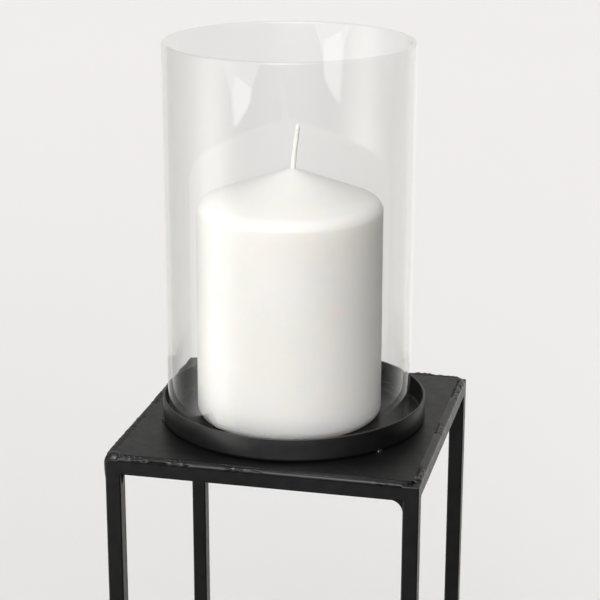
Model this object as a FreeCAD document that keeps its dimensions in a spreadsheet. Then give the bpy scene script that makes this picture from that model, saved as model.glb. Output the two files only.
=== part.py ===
import FreeCAD, Part
import math
import os
import re

import Sketcher
from FreeCAD import Placement, Rotation, Vector

# Hurricane candle lantern: a welded square-bar stand with a sheet-metal top, a round tray on it,
# a pillar candle in the tray and an open glass cylinder over the candle.
# Millimetres. +Z is up, the front is -Y, and the origin is on the floor under the stand's centre.

DIMENSIONS = [
    # Stand: four legs and two square rings of rails, all of one solid square bar.
    ("overall_height", 457.2),
    ("frame_side", 127.0),
    ("bar_size", 6.35),
    ("bar_edge_radius", 0.6),
    ("leg_top_radius", 2.8),
    ("pad_diameter", 5.6),
    ("pad_thickness", 1.5),
    ("pad_edge_radius", 0.4),
    # Top plate, laid on the upper rails and set in from their outer faces.
    ("plate_inset", 3.0),
    ("plate_gauge", 1.2),
    ("plate_corner_radius", 1.0),
    # Spun tray on the plate.
    ("tray_diameter", 110.3),
    ("tray_height", 10.1),
    ("tray_gauge", 1.0),
    ("tray_foot_radius", 1.8),
    ("tray_rim_radius", 0.35),
    # Glass cylinder, open at both ends, with fire-polished rims.
    ("glass_diameter", 101.6),
    ("glass_height", 158.0),
    ("glass_wall", 2.0),
    ("glass_rim_radius", 0.9),
    # Pillar candle with a shallow cone top, and its braided wick.
    ("wax_diameter", 76.7),
    ("wax_base_diameter", 77.3),
    ("wax_shoulder_height", 91.5),
    ("wax_tip_height", 105.5),
    ("wax_tip_diameter", 5.0),
    ("wax_shoulder_radius", 5.5),
    ("wax_base_radius", 4.5),
    ("wick_diameter", 2.2),
    ("wick_tip_height", 123.8),
    ("wick_lean", 1.8),
    ("wick_bend_radius", 30.0),
    # Welds.
    ("corner_weld_leg", 5.2),
    ("corner_weld_width", 5.0),
    ("edge_bead_width", 2.3),
    ("edge_bead_radius", 2.2),
    ("cap_weld_height", 10.0),
    ("cap_weld_width", 5.2),
    ("cap_weld_rise", 1.3),
    ("tack_weld_reach", 1.2),
    ("tack_weld_rise", 2.2),
    ("tack_weld_radius", 3.0),
    ("tack_weld_sweep", 2.6),
    # Where the loose pieces stand, measured from the stand's centre line.
    ("tray_x", -0.8),
    ("glass_x", -2.4),
    ("glass_y", -2.4),
    ("candle_x", -2.8),
]

# Sizes and levels that follow from the sheet's cells, as expressions.
TRAY_BOTTOM = "(overall_height - glass_height - tray_gauge)"
TRAY_FLOOR = "(overall_height - glass_height)"
RAIL_TOP = f"({TRAY_BOTTOM} - plate_gauge)"
RAIL_LENGTH = "(frame_side - 2 * bar_size)"
PLATE_SIDE = "(frame_side - 2 * plate_inset)"
OUTER_FACE = "(-frame_side / 2)"
LEG_CENTRE = "(-frame_side / 2 + bar_size / 2)"

FIRST_TACK_ANGLE = -38.0
QUARTER_TURNS = [0, 90, 180, 270]
LEG_NAMES = ["leg_front_left", "leg_front_right", "leg_back_right", "leg_back_left"]
DRESSED_LEG = "leg_front_left"
PAD_NAMES = ["foot_pad_front_left", "foot_pad_front_right", "foot_pad_back_right", "foot_pad_back_left"]
SIDE_NAMES = ["front", "right", "back", "left"]
Z_AXIS = Vector(0, 0, 1)
TOLERANCE = 1e-4

doc = FreeCAD.newDocument("HurricaneLantern")
sheet = doc.addObject("Spreadsheet::Sheet", "Dimensions")
pieces = []


def fill_sheet():
    """One named cell for each driving dimension, with its name beside it."""
    for row, (alias, content) in enumerate(DIMENSIONS, start=1):
        sheet.set(f"A{row}", alias)
        sheet.set(f"B{row}", str(content))
        sheet.setAlias(f"B{row}", alias)
    doc.recompute()


def number(expression):
    """The value of an expression that names cells of the sheet."""
    return float(sheet.evalExpression(expression))


def bound(expression):
    """The same expression as an object outside the sheet writes it: every word in it is a cell."""
    return re.sub("[a-z_]+", lambda word: f"Dimensions.{word[0]}", expression)


def new_body(label, turn=0, shift=("0", "0", "0")):
    """A body with its own label, turned about the lantern's axis and moved by a bound shift."""
    body = doc.addObject("PartDesign::Body", label)
    body.Label = label
    body.Placement = Placement(Vector(), Rotation(Z_AXIS, turn))
    for axis, expression in zip("xyz", shift):
        if expression != "0":
            body.setExpression(f"Placement.Base.{axis}", bound(expression))
    pieces.append(body)
    return body


def origin_feature(body, role):
    return next(feature for feature in body.Origin.OriginFeatures if feature.Role == role)


def new_sketch(body, name, plane, offset=None):
    """An empty sketch on one of the body's own origin planes, raised along its normal by offset."""
    sketch = body.newObject("Sketcher::SketchObject", name)
    sketch.AttachmentSupport = [(origin_feature(body, plane), "")]
    sketch.MapMode = "FlatFace"
    if offset:
        sketch.setExpression("AttachmentOffset.Base.z", bound(offset))
    return sketch


def hold(sketch, kind, *targets):
    """A named dimension of the sketch, driven by the expression that comes last in targets."""
    *places, expression = targets
    index = sketch.addConstraint(Sketcher.Constraint(kind, *places, number(expression)))
    name = f"size{index}"
    sketch.renameConstraint(index, name)
    sketch.setExpression(f"Constraints.{name}", bound(expression))


def arc_between(start, end, radius, bulge):
    """An arc from start to end that stands out to the left (1) or to the right (-1) of its chord."""
    chord = end - start
    sagitta = radius - math.sqrt(radius**2 - chord.Length**2 / 4)
    left = Vector(-chord.y, chord.x, 0).normalize()
    return Part.Arc(start, (start + end) / 2 + left * (bulge * sagitta), end)


def outline(sketch, corners, arcs=None):
    """A closed outline through corners, given as pairs of expressions. arcs maps a corner's index
    to the radius and bulge of the edge that leaves it."""
    arcs = arcs or {}
    points = [Vector(number(across), number(up), 0) for across, up in corners]
    count = len(points)
    ends = []
    for index, start in enumerate(points):
        end = points[(index + 1) % count]
        if index in arcs:
            radius, bulge = arcs[index]
            sketch.addGeometry(arc_between(start, end, number(radius), bulge))
            ends.append((1, 2) if bulge < 0 else (2, 1))
        else:
            sketch.addGeometry(Part.LineSegment(start, end))
            ends.append((1, 2))
    for index in range(count):
        following = (index + 1) % count
        sketch.addConstraint(
            Sketcher.Constraint("Coincident", index, ends[index][1], following, ends[following][0])
        )
    for index, (across, up) in enumerate(corners):
        hold(sketch, "DistanceX", -1, 1, index, ends[index][0], across)
        hold(sketch, "DistanceY", -1, 1, index, ends[index][0], up)
    for index, (radius, _) in arcs.items():
        hold(sketch, "Radius", index, radius)


def rectangle(sketch, left, bottom, width, height):
    outline(sketch, [
        (left, bottom),
        (f"{left} + {width}", bottom),
        (f"{left} + {width}", f"{bottom} + {height}"),
        (left, f"{bottom} + {height}"),
    ])


def disc(sketch, across, up, diameter):
    """A circle at a bound place."""
    centre = Vector(number(across), number(up), 0)
    sketch.addGeometry(Part.Circle(centre, Z_AXIS, number(diameter) / 2))
    hold(sketch, "DistanceX", -1, 1, 0, 3, across)
    hold(sketch, "DistanceY", -1, 1, 0, 3, up)
    hold(sketch, "Diameter", 0, diameter)


def pad(body, sketch, name, length, both_ways=False):
    feature = body.newObject("PartDesign::Pad", name)
    feature.Profile = sketch
    feature.Midplane = both_ways
    feature.setExpression("Length", bound(length))
    doc.recompute()
    return feature


def pocket(body, sketch, name, length):
    """A cut both ways from the sketch, which has to take something away."""
    before = body.Shape.Volume
    feature = body.newObject("PartDesign::Pocket", name)
    feature.Profile = sketch
    feature.Midplane = True
    feature.setExpression("Length", bound(length))
    doc.recompute()
    if feature.Shape.Volume > before - TOLERANCE:
        raise RuntimeError(f"{name} cuts nothing")
    return feature


def revolve(body, sketch, name):
    """A full turn of the sketch about the body's own vertical axis."""
    feature = body.newObject("PartDesign::Revolution", name)
    feature.Profile = sketch
    feature.ReferenceAxis = (sketch, ["V_Axis"])
    feature.Angle = 360
    doc.recompute()
    return feature


def round_edges(body, base, name, radius, wanted):
    """A fillet on the edges of base that wanted accepts."""
    feature = body.newObject("PartDesign::Fillet", name)
    edges = [f"Edge{index}" for index, edge in enumerate(base.Shape.Edges, start=1) if wanted(edge)]
    feature.Base = (base, edges)
    feature.setExpression("Radius", bound(radius))
    doc.recompute()
    return feature


def four_times(body, feature, name):
    """The feature repeated at quarter turns about the lantern's axis."""
    pattern = body.newObject("PartDesign::PolarPattern", name)
    pattern.Originals = [feature]
    pattern.Axis = (origin_feature(body, "Z_Axis"), [""])
    pattern.Angle = 360
    pattern.Occurrences = 4
    body.Tip = pattern
    doc.recompute()


def runs_along(axis):
    """Accepts the straight edges that run along an axis."""
    def wanted(edge):
        return edge.Curve.TypeId == "Part::GeomLine" and abs(edge.Curve.Direction.dot(axis)) > 1 - TOLERANCE
    return wanted


def circle_at(radius, height):
    """Accepts the circular edges of one radius at one height."""
    def wanted(edge):
        if edge.Curve.TypeId != "Part::GeomCircle":
            return False
        centre = edge.Curve.Center
        return abs(edge.Curve.Radius - radius) < TOLERANCE and abs(centre.z - height) < TOLERANCE
    return wanted


def any_of(*tests):
    return lambda edge: any(test(edge) for test in tests)


def make_leg(label, turn, dressed):
    """A square bar. Its inner edges are rounded between the rails and square where the rails are
    welded to it. Its outer edges are rounded all the way up and over its top. A dressed leg has one
    side of its top ground to a large radius."""
    body = new_body(label, turn)
    outer = number(OUTER_FACE)
    top = number(RAIL_TOP)

    def inner_edges(edge):
        middle = edge.BoundBox.Center
        return runs_along(Z_AXIS)(edge) and max(middle.x, middle.y) > outer + TOLERANCE

    def on_plane(low, high, level):
        return abs(low - level) < TOLERANCE and abs(high - level) < TOLERANCE

    def outer_edges(edge):
        box = edge.BoundBox
        on_side = on_plane(box.XMin, box.XMax, outer)
        on_front = on_plane(box.YMin, box.YMax, outer)
        on_top = on_plane(box.ZMin, box.ZMax, top)
        ground = on_front and edge.Curve.TypeId == "Part::GeomCircle"
        return ground or (on_side and on_front) or (on_front and on_top) or (on_side and on_top)

    section = new_sketch(body, f"{label}_section", "XY_Plane", "pad_thickness + bar_size")
    rectangle(section, OUTER_FACE, OUTER_FACE, "bar_size", "bar_size")
    bar = pad(body, section, f"{label}_bar", f"{RAIL_TOP} - pad_thickness - 2 * bar_size")
    round_edges(body, bar, f"{label}_inner_edges", "bar_edge_radius", inner_edges)
    for joint, underside in (("base", "pad_thickness"), ("top", f"{RAIL_TOP} - bar_size")):
        square = new_sketch(body, f"{label}_{joint}_joint_section", "XY_Plane", underside)
        rectangle(square, OUTER_FACE, OUTER_FACE, "bar_size", "bar_size")
        blank = pad(body, square, f"{label}_{joint}_joint", "bar_size")
    if dressed:
        waste = new_sketch(body, f"{label}_waste_section", "XZ_Plane", f"-{LEG_CENTRE}")
        outline(
            waste,
            [
                (OUTER_FACE, RAIL_TOP),
                (OUTER_FACE, f"{RAIL_TOP} - leg_top_radius"),
                (f"{OUTER_FACE} + leg_top_radius", RAIL_TOP),
            ],
            arcs={1: ("leg_top_radius", 1)},
        )
        blank = pocket(body, waste, f"{label}_dressed_corner", "2 * bar_size")
    round_edges(body, blank, f"{label}_outer_edges", "bar_edge_radius", outer_edges)


def make_rail(label, turn, underside):
    """A square bar between two legs, flush with their outer faces."""
    body = new_body(label, turn)
    section = new_sketch(body, f"{label}_section", "YZ_Plane")
    rectangle(section, OUTER_FACE, underside, "bar_size", "bar_size")
    bar = pad(body, section, f"{label}_bar", RAIL_LENGTH, both_ways=True)
    round_edges(body, bar, f"{label}_bar_edges", "bar_edge_radius", runs_along(Vector(1, 0, 0)))


def make_foot_pad(label, turn):
    """A round bumper under a leg."""
    body = new_body(label, turn)
    section = new_sketch(body, f"{label}_section", "XY_Plane")
    disc(section, LEG_CENTRE, LEG_CENTRE, "pad_diameter")
    dot = pad(body, section, f"{label}_dot", "pad_thickness")
    lower_rim = circle_at(number("pad_diameter / 2"), 0)
    round_edges(body, dot, f"{label}_lower_rim", "pad_edge_radius", lower_rim)


def make_top_plate():
    body = new_body("top_plate")
    section = new_sketch(body, "top_plate_section", "XY_Plane", RAIL_TOP)
    rectangle(section, f"-{PLATE_SIDE} / 2", f"-{PLATE_SIDE} / 2", PLATE_SIDE, PLATE_SIDE)
    blank = pad(body, section, "top_plate_blank", "plate_gauge")
    round_edges(body, blank, "top_plate_corners", "plate_corner_radius", runs_along(Z_AXIS))


def make_corner_welds(label, corner_height, direction):
    """A fillet weld in the inner corner at the right-hand end of each rail, seen from outside.
    direction is 1 above a rail and -1 below it."""
    body = new_body(label)
    corner = "frame_side / 2 - bar_size"
    far = f"{corner_height} + {direction} * corner_weld_leg"
    section = new_sketch(body, f"{label}_section", "XZ_Plane", f"-{LEG_CENTRE}")
    outline(
        section,
        [
            (corner, corner_height),
            (corner, far),
            (f"{corner} - corner_weld_leg", corner_height),
        ],
        arcs={1: ("corner_weld_leg", direction)},
    )
    weld = pad(body, section, f"{label}_weld", "corner_weld_width", both_ways=True)
    four_times(body, weld, f"{label}_corners")


def make_cap_weld():
    """A ground-down weld on the outer face of the front left leg, just under its top."""
    body = new_body("corner_cap_weld")
    dome = body.newObject("PartDesign::AdditiveEllipsoid", "cap_weld_dome")
    dome.setExpression("Radius1", bound("cap_weld_height / 2"))
    dome.setExpression("Radius2", bound("cap_weld_rise"))
    dome.setExpression("Radius3", bound("cap_weld_width / 2"))
    dome.AttachmentSupport = [(origin_feature(body, "XY_Plane"), "")]
    dome.MapMode = "FlatFace"
    middle = f"({RAIL_TOP} - leg_top_radius - cap_weld_height / 2)"
    dome.setExpression("AttachmentOffset.Base.x", bound(OUTER_FACE))
    dome.setExpression("AttachmentOffset.Base.y", bound(LEG_CENTRE))
    dome.setExpression("AttachmentOffset.Base.z", bound(middle))
    doc.recompute()
    whole = dome.Shape.Volume
    section = new_sketch(body, "cap_weld_leg_face", "XZ_Plane", f"-{LEG_CENTRE}")
    rectangle(section, OUTER_FACE, f"{middle} - cap_weld_height", "2 * cap_weld_rise", "2 * cap_weld_height")
    cut = pocket(body, section, "cap_weld_cut", "2 * cap_weld_width")
    if abs(cut.Shape.Volume - whole / 2) > whole / 100:
        raise RuntimeError("the cap weld isn't cut in half by the leg's face")


def make_plate_edge_welds():
    """A convex bead along each edge of the plate, on the rail beneath it."""
    body = new_body("plate_edge_welds")
    edge = f"-{PLATE_SIDE} / 2"
    section = new_sketch(body, "edge_bead_section", "YZ_Plane")
    outline(
        section,
        [
            (edge, RAIL_TOP),
            (edge, f"{RAIL_TOP} + plate_gauge"),
            (f"{edge} - edge_bead_width", RAIL_TOP),
        ],
        arcs={1: ("edge_bead_radius", -1)},
    )
    bead = pad(body, section, "edge_bead", RAIL_LENGTH, both_ways=True)
    four_times(body, bead, "edge_beads")


def make_tray():
    """A shallow dish with a straight wall, turned about its own axis."""
    body = new_body("candle_tray", shift=("tray_x", "0", TRAY_BOTTOM))
    section = new_sketch(body, "tray_section", "XZ_Plane")
    outer = "tray_diameter / 2"
    inner = "tray_diameter / 2 - tray_gauge"
    outline(
        section,
        [
            ("0", "0"),
            (f"{outer} - tray_foot_radius", "0"),
            (outer, "tray_foot_radius"),
            (outer, "tray_height"),
            (inner, "tray_height"),
            (inner, "tray_foot_radius"),
            (f"{outer} - tray_foot_radius", "tray_gauge"),
            ("0", "tray_gauge"),
        ],
        arcs={1: ("tray_foot_radius", -1), 5: ("tray_foot_radius - tray_gauge", 1)},
    )
    dish = revolve(body, section, "tray_dish")
    height = number("tray_height")
    rims = any_of(circle_at(number(outer), height), circle_at(number(inner), height))
    round_edges(body, dish, "tray_rim", "tray_rim_radius", rims)


def make_tray_tack_welds():
    """Three short tacks in the groove between the tray's foot and the plate."""
    body = new_body("tray_tack_welds", shift=("tray_x", "0", TRAY_BOTTOM))
    wall = "tray_diameter / 2"
    section = new_sketch(body, "tack_section", "XZ_Plane")
    outline(
        section,
        [
            (f"{wall} - tray_foot_radius", "0"),
            (f"{wall} + tack_weld_reach", "0"),
            (wall, "tack_weld_rise"),
            (wall, "tray_foot_radius"),
        ],
        arcs={1: ("tack_weld_radius", -1), 3: ("tray_foot_radius", 1)},
    )
    tack = body.newObject("PartDesign::Revolution", "tack")
    tack.Profile = section
    tack.ReferenceAxis = (section, ["V_Axis"])
    tack.Midplane = True
    tack.setExpression("Angle", bound("tack_weld_sweep"))
    doc.recompute()
    pattern = body.newObject("PartDesign::PolarPattern", "tacks")
    pattern.Originals = [tack]
    pattern.Axis = (origin_feature(body, "Z_Axis"), [""])
    pattern.Angle = 360
    pattern.Occurrences = 3
    body.Tip = pattern
    body.Placement = Placement(body.Placement.Base, Rotation(Z_AXIS, FIRST_TACK_ANGLE))
    doc.recompute()


def make_glass():
    """A plain tube whose rims are melted round."""
    body = new_body("glass_hurricane", shift=("glass_x", "glass_y", TRAY_FLOOR))
    section = new_sketch(body, "glass_section", "XZ_Plane")
    rectangle(section, "glass_diameter / 2 - glass_wall", "0", "glass_wall", "glass_height")
    tube = revolve(body, section, "glass_tube")
    rims = any_of(*(
        circle_at(number(radius), number(height))
        for radius in ("glass_diameter / 2", "glass_diameter / 2 - glass_wall")
        for height in ("0", "glass_height")
    ))
    round_edges(body, tube, "glass_rims", "glass_rim_radius", rims)


def make_wax():
    """The candle's wax: a cylinder, hardly tapered, with a shallow cone on top and a hole for the wick."""
    body = new_body("candle_wax", shift=("candle_x", "0", TRAY_FLOOR))
    section = new_sketch(body, "wax_section", "XZ_Plane")
    foot = "wax_base_diameter / 2"
    shoulder = "wax_diameter / 2"
    outline(section, [
        ("0", "0"),
        (foot, "0"),
        (shoulder, "wax_shoulder_height"),
        ("wax_tip_diameter / 2", "wax_tip_height"),
        ("0", "wax_tip_height"),
    ])
    pillar = revolve(body, section, "wax_pillar")
    base_edge = circle_at(number(foot), 0)
    shoulder_edge = circle_at(number(shoulder), number("wax_shoulder_height"))
    base = round_edges(body, pillar, "wax_base_edge", "wax_base_radius", base_edge)
    round_edges(body, base, "wax_shoulder", "wax_shoulder_radius", shoulder_edge)
    hole_section = new_sketch(body, "wick_hole_section", "XY_Plane")
    disc(hole_section, "0", "0", "wick_diameter")
    whole = body.Shape.Volume
    hole = pocket(body, hole_section, "wick_hole", "3 * wax_tip_height")
    expected = math.pi * number("wick_diameter / 2") ** 2 * number("wax_tip_height")
    if abs(whole - hole.Shape.Volume - expected) > expected / 100:
        raise RuntimeError("the wick hole doesn't go through the wax")


def make_wick():
    """The wick: straight through the wax, then bent a little to one side above it."""
    body = new_body("candle_wick", shift=("candle_x", "0", TRAY_FLOOR))
    radius = number("wick_bend_radius")
    bend_start = number("wax_tip_height")
    tip = Vector(number("wick_lean"), number("wick_tip_height"), 0)
    # The free end is a tangent from the tip to the bend's circle, whose centre is level with the bend's start.
    centre = Vector(radius, bend_start, 0)
    to_tip = tip - centre
    swing = math.acos(radius / to_tip.Length)
    angle = math.atan2(to_tip.y, to_tip.x) + swing
    bend_end = centre + Vector(math.cos(angle), math.sin(angle), 0) * radius
    bend_middle = centre + Vector(math.cos((angle + math.pi) / 2), math.sin((angle + math.pi) / 2), 0) * radius

    path = new_sketch(body, "wick_path", "XZ_Plane")
    path.addGeometry(Part.LineSegment(Vector(), Vector(0, bend_start, 0)))
    path.addGeometry(Part.Arc(Vector(0, bend_start, 0), bend_middle, bend_end))
    path.addGeometry(Part.LineSegment(bend_end, tip))
    path.addConstraint(Sketcher.Constraint("Coincident", 0, 1, -1, 1))
    path.addConstraint(Sketcher.Constraint("Vertical", 0))
    path.addConstraint(Sketcher.Constraint("Tangent", 0, 2, 1, 2))
    path.addConstraint(Sketcher.Constraint("Tangent", 1, 1, 2, 1))
    hold(path, "DistanceY", 0, 1, 0, 2, "wax_tip_height")
    hold(path, "Radius", 1, "wick_bend_radius")
    hold(path, "DistanceX", -1, 1, 2, 2, "wick_lean")
    hold(path, "DistanceY", -1, 1, 2, 2, "wick_tip_height")
    section = new_sketch(body, "wick_section", "XY_Plane")
    disc(section, "0", "0", "wick_diameter")
    wick = body.newObject("PartDesign::AdditivePipe", "wick")
    wick.Profile = section
    wick.Spine = (path, ["Edge1", "Edge2", "Edge3"])
    doc.recompute()
    length = bend_start + (math.pi - angle) * radius + (tip - bend_end).Length
    expected = math.pi * number("wick_diameter / 2") ** 2 * length
    if abs(wick.Shape.Volume - expected) > expected / 100:
        raise RuntimeError("the wick's volume isn't its section times its length")


def check_and_write():
    """Stops on any failed feature or bad shape, then writes one STEP file for each piece."""
    doc.recompute()
    for item in doc.Objects:
        if "Invalid" in item.State or "Error" in item.State:
            raise RuntimeError(f"{item.Label} failed: {item.State}")
    for piece in pieces:
        shape = piece.Shape
        if shape.isNull() or not shape.isValid() or not shape.Solids:
            raise RuntimeError(f"{piece.Label} has no valid solid")
    os.makedirs("parts", exist_ok=True)
    for piece in pieces:
        piece.Shape.exportStep(f"parts/{piece.Label}.step")
        box = piece.Shape.BoundBox
        print(
            f"{piece.Label:24s} {len(piece.Shape.Solids)} solid(s) {piece.Shape.Volume:10.1f} mm3"
            f"  x {box.XMin:.2f}..{box.XMax:.2f}  y {box.YMin:.2f}..{box.YMax:.2f}  z {box.ZMin:.2f}..{box.ZMax:.2f}"
        )


fill_sheet()
for leg_name, pad_name, side_name, quarter in zip(LEG_NAMES, PAD_NAMES, SIDE_NAMES, QUARTER_TURNS):
    make_leg(leg_name, quarter, dressed=leg_name == DRESSED_LEG)
    make_foot_pad(pad_name, quarter)
    make_rail(f"top_rail_{side_name}", quarter, f"{RAIL_TOP} - bar_size")
    make_rail(f"base_rail_{side_name}", quarter, "pad_thickness")
make_corner_welds("top_corner_welds", f"{RAIL_TOP} - bar_size", -1)
make_corner_welds("base_corner_welds", "pad_thickness + bar_size", 1)
make_cap_weld()
make_top_plate()
make_plate_edge_welds()
make_tray()
make_tray_tack_welds()
make_glass()
make_wax()
make_wick()
check_and_write()
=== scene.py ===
import math
import random

import bmesh
import bpy
from mathutils import Matrix, Vector, noise


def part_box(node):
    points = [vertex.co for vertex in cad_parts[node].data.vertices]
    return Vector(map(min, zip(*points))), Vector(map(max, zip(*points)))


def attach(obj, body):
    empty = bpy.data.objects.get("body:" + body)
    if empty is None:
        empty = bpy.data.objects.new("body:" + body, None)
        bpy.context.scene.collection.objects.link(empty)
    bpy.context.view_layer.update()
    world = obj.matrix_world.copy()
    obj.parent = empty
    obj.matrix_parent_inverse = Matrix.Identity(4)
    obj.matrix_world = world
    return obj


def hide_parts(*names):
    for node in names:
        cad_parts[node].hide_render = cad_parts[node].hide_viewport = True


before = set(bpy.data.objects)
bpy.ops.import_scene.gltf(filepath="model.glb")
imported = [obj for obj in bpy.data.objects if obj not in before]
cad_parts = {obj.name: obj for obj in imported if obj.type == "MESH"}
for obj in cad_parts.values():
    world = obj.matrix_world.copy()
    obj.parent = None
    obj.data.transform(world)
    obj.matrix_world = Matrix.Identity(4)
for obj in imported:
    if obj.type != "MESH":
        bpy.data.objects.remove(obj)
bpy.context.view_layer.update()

# Hurricane candle lantern.
# Metres, +Z up, the front is -Y, and the origin is on the floor under the stand's centre.

MM = 0.001

# The camera: its place, its turns in degrees, and its lens and sensor in millimetres.
CAMERA_PLACE = (0.16665, -0.70877, 0.57635)
CAMERA_YAW = 13.104
CAMERA_PITCH = -17.365
CAMERA_ROLL = 0.121
CAMERA_LENS = 110.257
SENSOR_WIDTH = 36.0

# The strength of the floor's own faint glow, and half the length of its side.
FLOOR_GLOW = 0.01
FLOOR_HALF_SIDE = 40

# What shows past the edge of the floor.
SEEN_PAST_FLOOR = (0.82, 0.81, 0.80, 1)

# The studio's soft light: each lobe's axis, how narrowly the light keeps to it, and its colour.
WORLD_LOBES = [
    ((-1, 0, 0), 2, (0.26, 0.27, 0.26)),
    ((0, 0, 1), 2, (0.58, 0.58, 0.57)),
    ((0, -0.85, 0.5), 10, (6.30, 6.05, 6.10)),
    ((0.45, -0.75, 0.40), 6, (0.62, 0.61, 0.61)),
    ((-0.80, -0.42, -0.42), 16, (2.70, 2.60, 2.50)),
    ((0, 0.95, -0.3), 3, (1.05, 1.04, 0.99)),
]

# The softbox: the two ends of its lowest edge, how far it leans in, in degrees, and its strength.
OCTABOX_NEAR = (-1.19, -1.585, 0.02)
OCTABOX_FAR = (-0.79, -2.03, 0.02)
OCTABOX_LEAN = 40
OCTABOX_STRENGTH = 2.0

# The share of light that a face of clear glass mirrors when it is seen straight on, and the power by which
# that share grows as the face is seen flatter.
GLASS_MIRRORS = 0.05
GLASS_GRAZING = 5.0

# Walls and roundings of the loose pieces, as part.py has them.
GLASS_WALL = 2.0 * MM
GLASS_RIM = 0.9 * MM
TRAY_GAUGE = 1.0 * MM
TRAY_FOOT = 1.8 * MM
TRAY_RIM = 0.35 * MM
WAX_BASE_ROUND = 4.5 * MM
WAX_SHOULDER_ROUND = 5.5 * MM
WAX_SHOULDER_HEIGHT = 91.5 * MM
WAX_BASE_RADIUS = 38.65 * MM
WAX_SHOULDER_RADIUS = 38.35 * MM
WICK_RADIUS = 1.1 * MM

# How far below the shoulder the mould left a faint lip, how far the lip stands out, and how wide it is.
WAX_LIP_DROP = 3.0 * MM
WAX_LIP = 0.07 * MM
WAX_LIP_WIDTH = 0.55 * MM

# How far the wax's tip stands to the right of its axis, how much further the wick's end leans, and how deep
# the wick starts in the wax.
TIP_SHIFT = 1.2 * MM
WICK_LEAN = 2.4 * MM
WICK_BURIED = 3 * MM

# The wick's braid: the height in which it twists by one radian, how far its threads and lumps stand out, how
# far it flares at the wax and over what height, and how far its cut end slants.
WICK_TWIST = 1.25 * MM
WICK_THREADS = 0.07 * MM
WICK_LUMPS = 0.06 * MM
WICK_FLARE = 0.45 * MM
WICK_FLARE_HEIGHT = 1.9 * MM
WICK_SLANT = 0.35 * MM


# ---------------------------------------------------------------- node trees

def node(tree, kind, inputs=None, **settings):
    """One node, with its settings, and its inputs given as values or as sockets to link."""
    made = tree.nodes.new(kind)
    for name, value in settings.items():
        setattr(made, name, value)
    for name, value in (inputs or {}).items():
        if isinstance(value, bpy.types.NodeSocket):
            tree.links.new(value, made.inputs[name])
        else:
            made.inputs[name].default_value = value
    return made


def new_material(name):
    """An empty material and its node tree."""
    material = bpy.data.materials.new(name)
    material.use_nodes = True
    material.node_tree.nodes.clear()
    return material, material.node_tree


def show(tree, shader):
    output = node(tree, "ShaderNodeOutputMaterial")
    tree.links.new(shader, output.inputs["Surface"])


def object_place(tree):
    """The object's own coordinates, which stay on the piece when it moves."""
    return node(tree, "ShaderNodeTexCoord").outputs["Object"]


def stretched(tree, place, scale):
    return node(tree, "ShaderNodeMapping", {"Vector": place, "Scale": scale}).outputs["Vector"]


def noise_at(tree, place, scale, detail):
    """Noise whose features are about 1/scale metres across."""
    inputs = {"Vector": place, "Scale": scale, "Detail": detail}
    return node(tree, "ShaderNodeTexNoise", inputs).outputs["Fac"]


def ranged(tree, value, low, high, new_low, new_high):
    inputs = {"Value": value, "From Min": low, "From Max": high, "To Min": new_low, "To Max": new_high}
    return node(tree, "ShaderNodeMapRange", inputs).outputs["Result"]


def blended(tree, factor, first, second):
    """A colour between first and second."""
    made = node(tree, "ShaderNodeMix", data_type="RGBA")
    sockets = [socket for socket in made.inputs if socket.enabled]
    for socket, value in zip(sockets, (factor, first, second)):
        if isinstance(value, bpy.types.NodeSocket):
            tree.links.new(value, socket)
        else:
            socket.default_value = value
    return next(socket for socket in made.outputs if socket.enabled)


def mixed(tree, factor, first, second):
    """The first shader where the factor is 0 and the second where it is 1."""
    made = node(tree, "ShaderNodeMixShader", {"Fac": factor})
    tree.links.new(first, made.inputs[1])
    tree.links.new(second, made.inputs[2])
    return made.outputs["Shader"]


def bumped(tree, height, distance, normal=None):
    inputs = {"Height": height, "Distance": distance}
    if normal is not None:
        inputs["Normal"] = normal
    return node(tree, "ShaderNodeBump", inputs).outputs["Normal"]


# ---------------------------------------------------------------- materials

def powder_coat(name, dark, light, roughness, ior, grain, waves):
    """Satin powder coat: cloudy colour and gloss, and the fine grain of the powder over a wavy surface."""
    material, tree = new_material(name)
    place = object_place(tree)
    clouds = noise_at(tree, place, 70, 4)
    powder = noise_at(tree, place, 2600, 2)
    swell = noise_at(tree, place, 160, 1)
    colour = blended(tree, ranged(tree, clouds, 0.3, 0.7, 0, 1), dark, light)
    gloss = ranged(tree, noise_at(tree, place, 230, 3), 0.3, 0.7, roughness - 0.04, roughness + 0.04)
    wavy = bumped(tree, swell, waves)
    surface = bumped(tree, powder, grain, normal=wavy)
    shader = node(tree, "ShaderNodeBsdfPrincipled", {
        "Base Color": colour,
        "Roughness": gloss,
        "IOR": ior,
        "Normal": surface,
    })
    show(tree, shader.outputs["BSDF"])
    return material


def clear_glass():
    """Thin clear glass: it shows what is behind it unbent and mirrors more the flatter it is looked along.
    Light from lamps and from diffuse surfaces goes straight through it."""
    material, tree = new_material("clear_glass_look")
    facing = node(tree, "ShaderNodeLayerWeight", {"Blend": 0.5}).outputs["Facing"]
    grazing = node(tree, "ShaderNodeMath", {0: facing, 1: GLASS_GRAZING}, operation="POWER").outputs[0]
    mirrored = ranged(tree, grazing, 0, 1, GLASS_MIRRORS, 1.0)
    clear = node(tree, "ShaderNodeBsdfTransparent", {"Color": (0.99, 0.992, 0.99, 1)}).outputs["BSDF"]
    gloss = node(tree, "ShaderNodeBsdfAnisotropic", {"Color": (1, 1, 1, 1), "Roughness": 0.0}).outputs["BSDF"]
    surface = mixed(tree, mirrored, clear, gloss)
    straight = node(tree, "ShaderNodeBsdfTransparent", {"Color": (0.965, 0.97, 0.965, 1)}).outputs["BSDF"]
    paths = node(tree, "ShaderNodeLightPath")
    for kind in ("Is Shadow Ray", "Is Diffuse Ray"):
        surface = mixed(tree, paths.outputs[kind], surface, straight)
    show(tree, surface)
    return material


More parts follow.
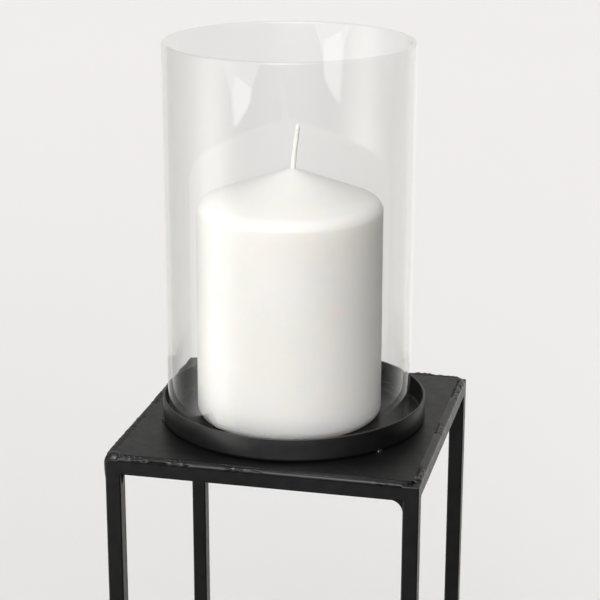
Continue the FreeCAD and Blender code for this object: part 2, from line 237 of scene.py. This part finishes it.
def white_wax():
    """Paraffin wax: light goes a little way in, and the skin has shallow dimples and rubbed patches."""
    material, tree = new_material("white_wax_look")
    place = object_place(tree)
    clouds = noise_at(tree, place, 35, 4)
    cloudy = ranged(tree, clouds, 0.3, 0.7, 0, 1)
    colour = blended(tree, cloudy, (0.885, 0.872, 0.838, 1), (0.915, 0.906, 0.877, 1))
    gloss = ranged(tree, noise_at(tree, place, 120, 3), 0.3, 0.7, 0.42, 0.55)
    dimples = bumped(tree, noise_at(tree, place, 90, 2), 0.00015)
    skin = bumped(tree, noise_at(tree, place, 900, 3), 0.00001, normal=dimples)
    shader = node(tree, "ShaderNodeBsdfPrincipled", {
        "Base Color": colour,
        "Roughness": gloss,
        "IOR": 1.44,
        "Subsurface Weight": 1.0,
        "Subsurface Radius": (1.0, 0.85, 0.7),
        "Subsurface Scale": 0.011,
        "Normal": skin,
    }, subsurface_method="RANDOM_WALK")
    show(tree, shader.outputs["BSDF"])
    return material


def waxed_cotton():
    """Cotton braid soaked in wax: threads along it and a slightly yellow tint between them."""
    material, tree = new_material("waxed_cotton_look")
    place = object_place(tree)
    threads = noise_at(tree, stretched(tree, place, (1, 1, 0.25)), 4200, 3)
    between = ranged(tree, threads, 0.35, 0.65, 0, 1)
    colour = blended(tree, between, (0.80, 0.775, 0.71, 1), (0.93, 0.92, 0.88, 1))
    shader = node(tree, "ShaderNodeBsdfPrincipled", {
        "Base Color": colour,
        "Roughness": ranged(tree, threads, 0.3, 0.7, 0.65, 0.5),
        "Subsurface Weight": 0.5,
        "Subsurface Radius": (1.0, 0.8, 0.6),
        "Subsurface Scale": 0.0006,
        "Normal": bumped(tree, threads, 0.00006),
    })
    show(tree, shader.outputs["BSDF"])
    return material


def bumper_rubber():
    """Moulded rubber: dull, with a fine bloom."""
    material, tree = new_material("bumper_rubber_look")
    place = object_place(tree)
    bloom = noise_at(tree, place, 1400, 4)
    colour = blended(tree, bloom, (0.018, 0.018, 0.019, 1), (0.05, 0.05, 0.05, 1))
    shader = node(tree, "ShaderNodeBsdfPrincipled", {
        "Base Color": colour,
        "Roughness": ranged(tree, bloom, 0.3, 0.7, 0.62, 0.8),
        "Normal": bumped(tree, bloom, 0.00004),
    })
    show(tree, shader.outputs["BSDF"])
    return material


def studio_floor():
    """A pale painted floor."""
    material, tree = new_material("studio_floor_look")
    place = object_place(tree)
    clouds = noise_at(tree, place, 1.5, 2)
    colour = blended(tree, clouds, (0.905, 0.90, 0.89, 1), (0.92, 0.915, 0.905, 1))
    shader = node(tree, "ShaderNodeBsdfPrincipled", {
        "Base Color": colour,
        "Roughness": 0.9,
        "Emission Color": (1, 1, 1, 1),
        "Emission Strength": FLOOR_GLOW,
    })
    show(tree, shader.outputs["BSDF"])
    return material


# ---------------------------------------------------------------- meshes

def new_piece(name, work, material, body):
    """A smooth-shaded piece made from a bmesh, with its look and the body that it rides on."""
    bmesh.ops.recalc_face_normals(work, faces=work.faces)
    mesh = bpy.data.meshes.new(name)
    work.to_mesh(mesh)
    work.free()
    for face in mesh.polygons:
        face.use_smooth = True
    mesh.materials.append(material)
    piece = bpy.data.objects.new(name, mesh)
    bpy.context.scene.collection.objects.link(piece)
    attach(piece, body)
    return piece


def rounded_path(corners, steps=8, closed=False):
    """Points along straight runs with rounded corners. Each corner is (across, up, radius)."""
    points = []
    count = len(corners)
    for index, (across, up, radius) in enumerate(corners):
        here = Vector((across, up))
        at_end = not closed and index in (0, count - 1)
        if radius == 0 or at_end:
            points.append(here)
            continue
        before = (Vector(corners[index - 1][:2]) - here).normalized()
        after = (Vector(corners[(index + 1) % count][:2]) - here).normalized()
        half = before.angle(after) / 2
        reach = radius / math.tan(half)
        middle = here + (before + after).normalized() * (radius / math.sin(half))
        start = here + before * reach - middle
        sweep = math.pi - 2 * half
        if start.y * before.x - start.x * before.y < 0:
            sweep = -sweep
        for step in range(steps + 1):
            turn = Matrix.Rotation(sweep * step / steps, 2)
            points.append(middle + turn @ start)
    return points


def finer(points, longest):
    """The same path with its long runs divided."""
    made = []
    for start, end in zip(points, points[1:]):
        parts = max(1, math.ceil((end - start).length / longest))
        made += [start.lerp(end, part / parts) for part in range(parts)]
    return made + [points[-1]]


def lathe(points, centre, segments, closed=False, shape=None):
    """A turned surface. shape(angle, radius, height) gives the radius and height that are really used."""
    work = bmesh.new()
    rings = []
    for point in points:
        if point.x < 1e-7:
            rings.append([work.verts.new((centre[0], centre[1], centre[2] + point.y))])
            continue
        ring = []
        for segment in range(segments):
            angle = 2 * math.pi * segment / segments
            radius, height = shape(angle, point.x, point.y) if shape else (point.x, point.y)
            ring.append(work.verts.new((
                centre[0] + radius * math.cos(angle),
                centre[1] + radius * math.sin(angle),
                centre[2] + height,
            )))
        rings.append(ring)
    following = rings[1:] + rings[:1] if closed else rings[1:]
    for lower, upper in zip(rings, following):
        for segment in range(segments):
            beyond = (segment + 1) % segments
            corners = [lower[segment % len(lower)], lower[beyond % len(lower)],
                       upper[beyond % len(upper)], upper[segment % len(upper)]]
            work.faces.new(list(dict.fromkeys(corners)))
    return work


def centre_of(low, high):
    return (low.x + high.x) / 2, (low.y + high.y) / 2, low.z


def make_glass(look):
    low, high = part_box("glass_hurricane")
    outer = (high.x - low.x) / 2
    inner = outer - GLASS_WALL
    tall = high.z - low.z
    section = rounded_path([
        (inner, 0, GLASS_RIM),
        (outer, 0, GLASS_RIM),
        (outer, tall, GLASS_RIM),
        (inner, tall, GLASS_RIM),
    ], steps=10, closed=True)
    section = finer(section + section[:1], 12 * MM)[:-1]
    work = lathe(section, centre_of(low, high), 256, closed=True)
    piece = new_piece("glass_cylinder", work, look, "glass")
    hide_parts("glass_hurricane")


def make_tray(look):
    low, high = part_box("candle_tray")
    outer = (high.x - low.x) / 2
    inner = outer - TRAY_GAUGE
    tall = high.z - low.z
    section = rounded_path([
        (0, 0, 0),
        (outer, 0, TRAY_FOOT),
        (outer, tall, TRAY_RIM),
        (inner, tall, TRAY_RIM),
        (inner, TRAY_GAUGE, TRAY_FOOT - TRAY_GAUGE),
        (0, TRAY_GAUGE, 0),
    ], steps=8)
    work = lathe(finer(section, 6 * MM), centre_of(low, high), 256)
    piece = new_piece("tray_dish", work, look, "stand")
    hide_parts("candle_tray")


def make_wax(look):
    low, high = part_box("candle_wax")
    tall = high.z - low.z
    lip_height = WAX_SHOULDER_HEIGHT - WAX_LIP_DROP
    section = rounded_path([
        (0, 0, 0),
        (WAX_BASE_RADIUS, 0, WAX_BASE_ROUND),
        (WAX_SHOULDER_RADIUS, WAX_SHOULDER_HEIGHT, WAX_SHOULDER_ROUND),
        (12 * MM, tall - 4.0 * MM, 30 * MM),
        (3.2 * MM, tall - 0.7 * MM, 2 * MM),
        (1.6 * MM, tall, 0),
        (0, tall, 0),
    ], steps=12)

    def cast(angle, radius, height):
        """Shallow waves of a cast surface, and the faint lip left where the mould's shoulder ended."""
        around = Vector((math.cos(angle), math.sin(angle), height * 12))
        waves = 0.10 * MM * noise.noise(around * 1.3) + 0.03 * MM * noise.noise(around * 5.1)
        lip = WAX_LIP * math.exp(-((height - lip_height) / WAX_LIP_WIDTH) ** 2)
        share = min(1.0, radius / WAX_SHOULDER_RADIUS)
        return radius + (waves + lip) * share, height + waves * (1 - share) * share

    middle = centre_of(low, high)
    work = lathe(finer(section, 1.2 * MM), middle, 192, shape=cast)
    for vertex in work.verts:
        if vertex.co.z - low.z > WAX_SHOULDER_HEIGHT:
            spread = math.hypot(vertex.co.x - middle[0], vertex.co.y - middle[1])
            vertex.co.x += TIP_SHIFT * max(0.0, 1 - spread / WAX_SHOULDER_RADIUS)
    piece = new_piece("wax_pillar", work, look, "candle")
    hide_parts("candle_wax")


def make_wick(look):
    """A braided wick soaked in wax: thicker where it leaves the candle, and cut at a slant."""
    wax_low, wax_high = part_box("candle_wax")
    low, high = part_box("candle_wick")
    centre = centre_of(wax_low, wax_high)
    base = wax_high.z - WICK_BURIED
    top = high.z
    work = bmesh.new()
    rings = 150
    sides = 40
    loops = []
    for ring in range(rings + 1):
        share = ring / rings
        height = base + (top - base) * share
        lean = WICK_LEAN * share ** 1.4
        loop = []
        for side in range(sides):
            angle = 2 * math.pi * side / sides
            twist = height / WICK_TWIST
            braid = max(math.cos(2 * angle - twist), math.cos(2 * angle + twist))
            flare = WICK_FLARE * math.exp(-(height - base) / WICK_FLARE_HEIGHT)
            end = min(1.0, (1 - share) * 14) ** 0.5
            radius = (WICK_RADIUS * 0.93 + WICK_THREADS * braid + flare) * max(0.12, end)
            slant = -WICK_SLANT * math.cos(angle) * share ** 8
            lumps = WICK_LUMPS * noise.noise(Vector((math.cos(angle), math.sin(angle), height * 500)))
            loop.append(work.verts.new((
                centre[0] + TIP_SHIFT + lean + (radius + lumps) * math.cos(angle),
                centre[1] + (radius + lumps) * math.sin(angle),
                height + slant,
            )))
        loops.append(loop)
    for lower, upper in zip(loops, loops[1:]):
        for side in range(sides):
            beyond = (side + 1) % sides
            work.faces.new((lower[side], lower[beyond], upper[beyond], upper[side]))
    work.faces.new(loops[-1])
    work.faces.new(loops[0])
    piece = new_piece("braided_wick", work, look, "candle")
    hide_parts("candle_wick")


# Where each edge bead was left lumpy, in millimetres along its edge from its left end, seen from outside, and
# how high the lumps are: (start, end, height).
LUMPY_RUNS = {
    "front": [(4.0, 32.0, 0.50), (48.0, 61.0, 0.42), (106.0, 117.0, 0.20)],
    "right": [(6.0, 14.0, 0.18), (52.0, 60.0, 0.22), (96.0, 117.0, 0.30)],
    "back": [(4.0, 26.0, 0.42), (60.0, 72.0, 0.34), (100.0, 110.0, 0.25)],
    "left": [(2.0, 22.0, 0.26), (34.0, 62.0, 0.22), (80.0, 118.0, 0.16)],
}

# How far round the stand each bead lies, in degrees from the front.
SIDE_TURNS = {"front": 0, "right": 90, "back": 180, "left": 270}

# How each bead fills the step from the plate's edge to the rail's outer face. First comes how square its
# section is. The others are millimetres: how far its corner stands out past the rail and above the plate,
# and how far it runs on past the rail's first and last ends.
BEAD_SHAPES = {
    "front": (0.86, 0.15, -0.06, 3.0, 1.5),
    "right": (0.60, 0.10, -0.20, 1.5, 4.6),
    "back": (0.85, 0.35, 0.12, 4.6, 4.6),
    "left": (0.98, 0.90, 0.04, 4.6, 4.4),
}

# Over this length a bead dies away at its ends, down to this share of its size.
BEAD_FADE = 2.5 * MM
BEAD_END_SHARE = 0.15

# The crease between the plate and a bead: its place and width in shares of the bead's section, its depth
# where the bead is smooth, and how much deeper it is where the bead is lumpy.
CREASE_AT = 0.17
CREASE_WIDTH = 0.08
CREASE_DEPTH = 0.12 * MM
CREASE_LUMPY_DEPTH = 0.45 * MM

# How far slow waves, and the grain of the lumpy runs, raise a bead.
BEAD_WAVES = 0.07 * MM
BEAD_GRAIN = 0.16 * MM

# How finely a bead is cut along its edge and across, and the seed of its lumps.
BEAD_STEPS = 520
SECTION_STEPS = 26
BEAD_SEED = 7


def weld_lumps(runs, draw):
    """Ripples of filler along the outer side of a bead, and pits in the crease on its inner side.
    Each is (along, across from 0 to 1, half length, half width, height, slant)."""
    lumps = []
    for start, end, height in runs:
        along = start
        while along < end:
            lumps.append((
                along * MM,
                draw.uniform(0.48, 0.78),
                draw.uniform(0.8, 1.9) * MM,
                draw.uniform(0.35, 0.55) * MM,
                height * MM * draw.uniform(0.6, 1.3),
                draw.uniform(-0.35, 0.35),
            ))
            if draw.random() < 0.55:
                pit = draw.uniform(0.4, 0.8) * MM
                depth = -height * MM * draw.uniform(0.7, 1.2)
                lumps.append((along * MM, draw.uniform(0.15, 0.34), pit, 0.7 * pit, depth, 0.0))
            along += draw.uniform(1.5, 3.2)
    return lumps


def bead_section(share, start, corner, end, square):
    """A point of a bead's bare section, which runs from start to end and bulges towards corner."""
    near = start.lerp(corner, square)
    far = end.lerp(corner, square)
    rest = 1 - share
    first_half = start * rest ** 3 + near * (3 * rest ** 2 * share)
    return first_half + far * (3 * rest * share ** 2) + end * share ** 3


def lump_rise(near, along, share, span):
    """How far the lumps in near raise a bead at this place along it and across its span."""
    arch = math.sin(math.pi * share)
    rise = 0.0
    for lump_along, lump_across, reach, width, height, slant in near:
        gap_along = along - lump_along
        gap_across = (share - lump_across) * span - slant * gap_along
        gap = (gap_along / reach) ** 2 + (gap_across / width) ** 2
        rise += height * math.exp(-gap) * arch ** 0.4
    return rise


def make_edge_bead(side, look, draw):
    """The weld along one of the plate's edges, down to its rail: smooth in places, lumpy elsewhere."""
    plate_low, plate_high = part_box("top_plate")
    rail_low, rail_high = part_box("top_rail_front")
    edge = plate_low.y
    top = plate_high.z
    turn = SIDE_TURNS[side]
    square, out, up, before, after = BEAD_SHAPES[side]
    first_end = rail_low.x - before * MM
    length = rail_high.x + after * MM - first_end
    lumps = weld_lumps(LUMPY_RUNS[side], draw)
    spin = Matrix.Rotation(math.radians(turn), 3, "Z")
    corner = Vector((rail_low.y - out * MM, top + up * MM))
    end = Vector((rail_low.y - 0.02 * MM, rail_high.z - 0.75 * MM))
    work = bmesh.new()
    rows = []
    for row in range(BEAD_STEPS + 1):
        along = length * row / BEAD_STEPS
        near = [lump for lump in lumps if abs(along - lump[0]) < 3.2 * lump[2]]
        lumpy = max((math.exp(-((along - lump[0]) / (2.4 * MM)) ** 2) for lump in near), default=0.0)
        start = Vector((edge + (0.25 + 0.5 * lumpy) * MM, top - 0.06 * MM))
        chord = end - start
        outward = Vector((chord.y, -chord.x)).normalized()
        ends = min(1.0, along / BEAD_FADE, (length - along) / BEAD_FADE)
        ends = max(BEAD_END_SHARE, ends * ends * (3 - 2 * ends))
        line = []
        for step in range(SECTION_STEPS + 1):
            share = step / SECTION_STEPS
            arch = math.sin(math.pi * share)
            rise = lump_rise(near, along, share, chord.length)
            fine = noise.noise(Vector((along * 420, share * 2.2, turn)))
            slow = noise.noise(Vector((along * 70, share, turn + 40)))
            rise += (BEAD_WAVES * slow + BEAD_GRAIN * lumpy * fine) * arch
            crease = CREASE_DEPTH + CREASE_LUMPY_DEPTH * lumpy
            rise -= crease * math.exp(-((share - CREASE_AT) / CREASE_WIDTH) ** 2)
            bare = bead_section(share, start, corner, end, square * ends)
            spot = bare + outward * rise * ends
            line.append(work.verts.new(spin @ Vector((first_end + along, spot.x, spot.y))))
        under = start + Vector((-0.4 * MM, -0.9 * MM))
        line.append(work.verts.new(spin @ Vector((first_end + along, under.x, under.y))))
        rows.append(line)
    count = len(rows[0])
    for first, second in zip(rows, rows[1:]):
        for step in range(count):
            beyond = (step + 1) % count
            work.faces.new((first[step], first[beyond], second[beyond], second[step]))
    work.faces.new(rows[0])
    work.faces.new(rows[-1])
    piece = new_piece("edge_bead_" + side, work, look, "stand")
    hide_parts("plate_edge_welds")


# The knob on the front left leg: how far its centre lies in from the leg's outer face and below its top,
# and how far it reaches to the sides, to the front, further to the front at its top, up, and down the leg.
KNOB_IN = 3.1 * MM
KNOB_DOWN = 3.0 * MM
KNOB_SIDE_REACH = 4.3 * MM
KNOB_FRONT_REACH = 3.12 * MM
KNOB_TOP_SWELL = 0.45 * MM
KNOB_UP_REACH = 5.1 * MM
KNOB_DOWN_REACH = 15.0 * MM


def make_corner_cap(look):
    """The weld on the front left leg, dressed to a rounded knob that runs out down the leg."""
    leg_low, leg_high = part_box("leg_front_left")
    work = bmesh.new()
    bmesh.ops.create_icosphere(work, subdivisions=6, radius=1.0)
    centre = Vector((leg_low.x + KNOB_IN, (leg_low.y + leg_high.y) / 2, leg_high.z - KNOB_DOWN))
    for vertex in work.verts:
        way = vertex.co.normalized()
        lumps = 1 + 0.035 * noise.noise(way * 1.7)
        front = KNOB_FRONT_REACH + KNOB_TOP_SWELL * max(0.0, way.z)
        tall = KNOB_UP_REACH if way.z > 0 else KNOB_DOWN_REACH
        reach = Vector((KNOB_SIDE_REACH, front, tall))
        vertex.co = centre + Vector((way.x * reach.x, way.y * reach.y, way.z * reach.z)) * lumps
    piece = new_piece("corner_cap_bead", work, look, "stand")
    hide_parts("corner_cap_weld")


# The tacks at the tray's foot: the first one's direction from the tray's centre in degrees, how many there
# are, and the half sizes of one.
FIRST_TACK_ANGLE = -38
TACK_COUNT = 3
TACK_HALF_SIZE = (1.0 * MM, 1.5 * MM, 1.3 * MM)


def make_tray_tacks(look):
    """Small smooth tacks in the corner between the tray's foot and the plate."""
    tray_low, tray_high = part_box("candle_tray")
    middle = (tray_low + tray_high) / 2
    reach = (tray_high.x - tray_low.x) / 2 - 0.25 * MM
    half_x, half_y, half_z = TACK_HALF_SIZE
    work = bmesh.new()
    for tack in range(TACK_COUNT):
        angle = math.radians(FIRST_TACK_ANGLE + 360 * tack / TACK_COUNT)
        spin = Matrix.Rotation(angle, 3, "Z")
        foot = Vector((middle.x, middle.y, tray_low.z)) + spin @ Vector((reach, 0, 0))
        made = bmesh.ops.create_icosphere(work, subdivisions=4, radius=1.0)["verts"]
        for vertex in made:
            way = vertex.co.normalized()
            lumps = 1 + 0.10 * noise.noise(way * 1.9 + Vector((tack, 0, 0)))
            size = Vector((way.x * half_x, way.y * half_y, max(way.z, -0.05) * half_z))
            vertex.co = foot + spin @ (size * lumps)
    piece = new_piece("tray_tack_beads", work, look, "stand")
    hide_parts("tray_tack_welds")


def finish_cad_nodes(looks):
    """Gives each CAD node that still shows its look."""
    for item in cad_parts.values():
        slot = item.data.materials[0].name if item.data.materials else ""
        for index in range(len(item.material_slots)):
            item.material_slots[index].link = "OBJECT"
            item.material_slots[index].material = looks[slot.split(".")[0]]


# ---------------------------------------------------------------- stage, light and camera

def make_floor(look):
    """A pale floor. It is seen and takes shadows, but it neither mirrors in the object nor lights it: the
    world does that."""
    work = bmesh.new()
    bmesh.ops.create_grid(work, x_segments=8, y_segments=8, size=FLOOR_HALF_SIDE)
    mesh = bpy.data.meshes.new("studio_floor")
    work.to_mesh(mesh)
    work.free()
    mesh.materials.append(look)
    floor = bpy.data.objects.new("studio_floor", mesh)
    bpy.context.scene.collection.objects.link(floor)
    floor.visible_glossy = False
    floor.visible_diffuse = False


def make_octabox(near, far, lean, strength):
    """A regular octagonal softbox that stands on the edge from near to far and leans in over the object."""
    near, far = Vector(near), Vector(far)
    side = (far - near).length
    along = (far - near).normalized()
    inward = Vector((-along.y, along.x, 0))
    if inward.dot(near) > 0:
        inward = -inward
    up = inward * math.sin(math.radians(lean)) + Vector((0, 0, math.cos(math.radians(lean))))
    work = bmesh.new()
    spot, heading = near.copy(), 0.0
    corners = []
    for _ in range(8):
        corners.append(work.verts.new(spot))
        spot = spot + (along * math.cos(heading) + up * math.sin(heading)) * side
        heading += math.radians(45)
    work.faces.new(corners)
    mesh = bpy.data.meshes.new("studio_octabox")
    work.to_mesh(mesh)
    work.free()
    material, tree = new_material("studio_octabox_light")
    light = node(tree, "ShaderNodeEmission", {"Color": (1, 1, 1, 1), "Strength": strength})
    show(tree, light.outputs["Emission"])
    mesh.materials.append(material)
    box = bpy.data.objects.new("studio_octabox", mesh)
    bpy.context.scene.collection.objects.link(box)
    box.visible_camera = False
    box.visible_transmission = False


def make_world(lobes, seen):
    """Soft light from all round: each lobe is an axis, how narrow it is, and the colour that it adds there.
    A look past the floor, straight or through the glass, meets a plain colour."""
    world = bpy.data.worlds.new("studio_air")
    bpy.context.scene.world = world
    world.use_nodes = True
    tree = world.node_tree
    tree.nodes.clear()
    way = node(tree, "ShaderNodeTexCoord").outputs["Generated"]
    total = None
    for axis, power, colour in lobes:
        dot = node(tree, "ShaderNodeVectorMath", operation="DOT_PRODUCT")
        tree.links.new(way, dot.inputs[0])
        dot.inputs[1].default_value = Vector(axis).normalized()
        facing = node(tree, "ShaderNodeMath", {0: dot.outputs["Value"], 1: 0.0}, operation="MAXIMUM")
        lobe = node(tree, "ShaderNodeMath", {0: facing.outputs[0], 1: power}, operation="POWER")
        tinted = node(tree, "ShaderNodeVectorMath", operation="SCALE")
        tinted.inputs[0].default_value = colour
        tree.links.new(lobe.outputs[0], tinted.inputs["Scale"])
        if total is None:
            total = tinted.outputs[0]
        else:
            both = {0: total, 1: tinted.outputs[0]}
            total = node(tree, "ShaderNodeVectorMath", both, operation="ADD").outputs[0]
    shader = node(tree, "ShaderNodeBackground", {"Color": total}).outputs[0]
    plain = node(tree, "ShaderNodeBackground", {"Color": seen}).outputs[0]
    paths = node(tree, "ShaderNodeLightPath")
    for kind in ("Is Camera Ray", "Is Transmission Ray"):
        shader = mixed(tree, paths.outputs[kind], shader, plain)
    output = node(tree, "ShaderNodeOutputWorld")
    tree.links.new(shader, output.inputs["Surface"])


def make_camera():
    """The camera at the picture's viewing angle."""
    lens = bpy.data.cameras.new("photo_camera")
    lens.sensor_width = SENSOR_WIDTH
    lens.lens = CAMERA_LENS
    lens.clip_start = 0.01
    lens.clip_end = 200
    camera = bpy.data.objects.new("photo_camera", lens)
    bpy.context.scene.collection.objects.link(camera)
    turn = (
        Matrix.Rotation(math.radians(CAMERA_YAW), 4, "Z")
        @ Matrix.Rotation(math.radians(90 + CAMERA_PITCH), 4, "X")
        @ Matrix.Rotation(math.radians(CAMERA_ROLL), 4, "Z")
    )
    camera.matrix_world = Matrix.Translation(CAMERA_PLACE) @ turn
    bpy.context.scene.camera = camera


steel = powder_coat(
    "powder_coat_steel",
    dark=(0.0022, 0.0022, 0.0023, 1),
    light=(0.0042, 0.0042, 0.0044, 1),
    roughness=0.40,
    ior=1.45,
    grain=0.010 * MM,
    waves=0.012 * MM,
)
weld = powder_coat(
    "powder_coat_weld",
    dark=(0.0020, 0.0020, 0.0021, 1),
    light=(0.0040, 0.0040, 0.0042, 1),
    roughness=0.31,
    ior=1.60,
    grain=0.012 * MM,
    waves=0.05 * MM,
)
tray = powder_coat(
    "powder_coat_tray",
    dark=(0.0008, 0.0008, 0.0008, 1),
    light=(0.0016, 0.0016, 0.0016, 1),
    roughness=0.38,
    ior=1.70,
    grain=0.008 * MM,
    waves=0.010 * MM,
)
glass = clear_glass()
wax = white_wax()
cotton = waxed_cotton()
rubber = bumper_rubber()

finish_cad_nodes({
    "powder_coated_steel": steel,
    "powder_coated_weld": weld,
    "powder_coated_tray": tray,
    "clear_glass": glass,
    "white_wax": wax,
    "cotton_wick": cotton,
    "rubber_pad": rubber,
})
make_glass(glass)
make_tray(tray)
make_wax(wax)
make_wick(cotton)
bead_draw = random.Random(BEAD_SEED)
for bead_side in SIDE_TURNS:
    # The left bead is dressed smooth and has the bars' finish.
    make_edge_bead(bead_side, steel if bead_side == "left" else weld, bead_draw)
make_corner_cap(weld)
make_tray_tacks(weld)

make_floor(studio_floor())
make_world(WORLD_LOBES, SEEN_PAST_FLOOR)
make_octabox(OCTABOX_NEAR, OCTABOX_FAR, OCTABOX_LEAN, OCTABOX_STRENGTH)
make_camera()
bpy.context.scene.view_settings.view_transform = "Standard"
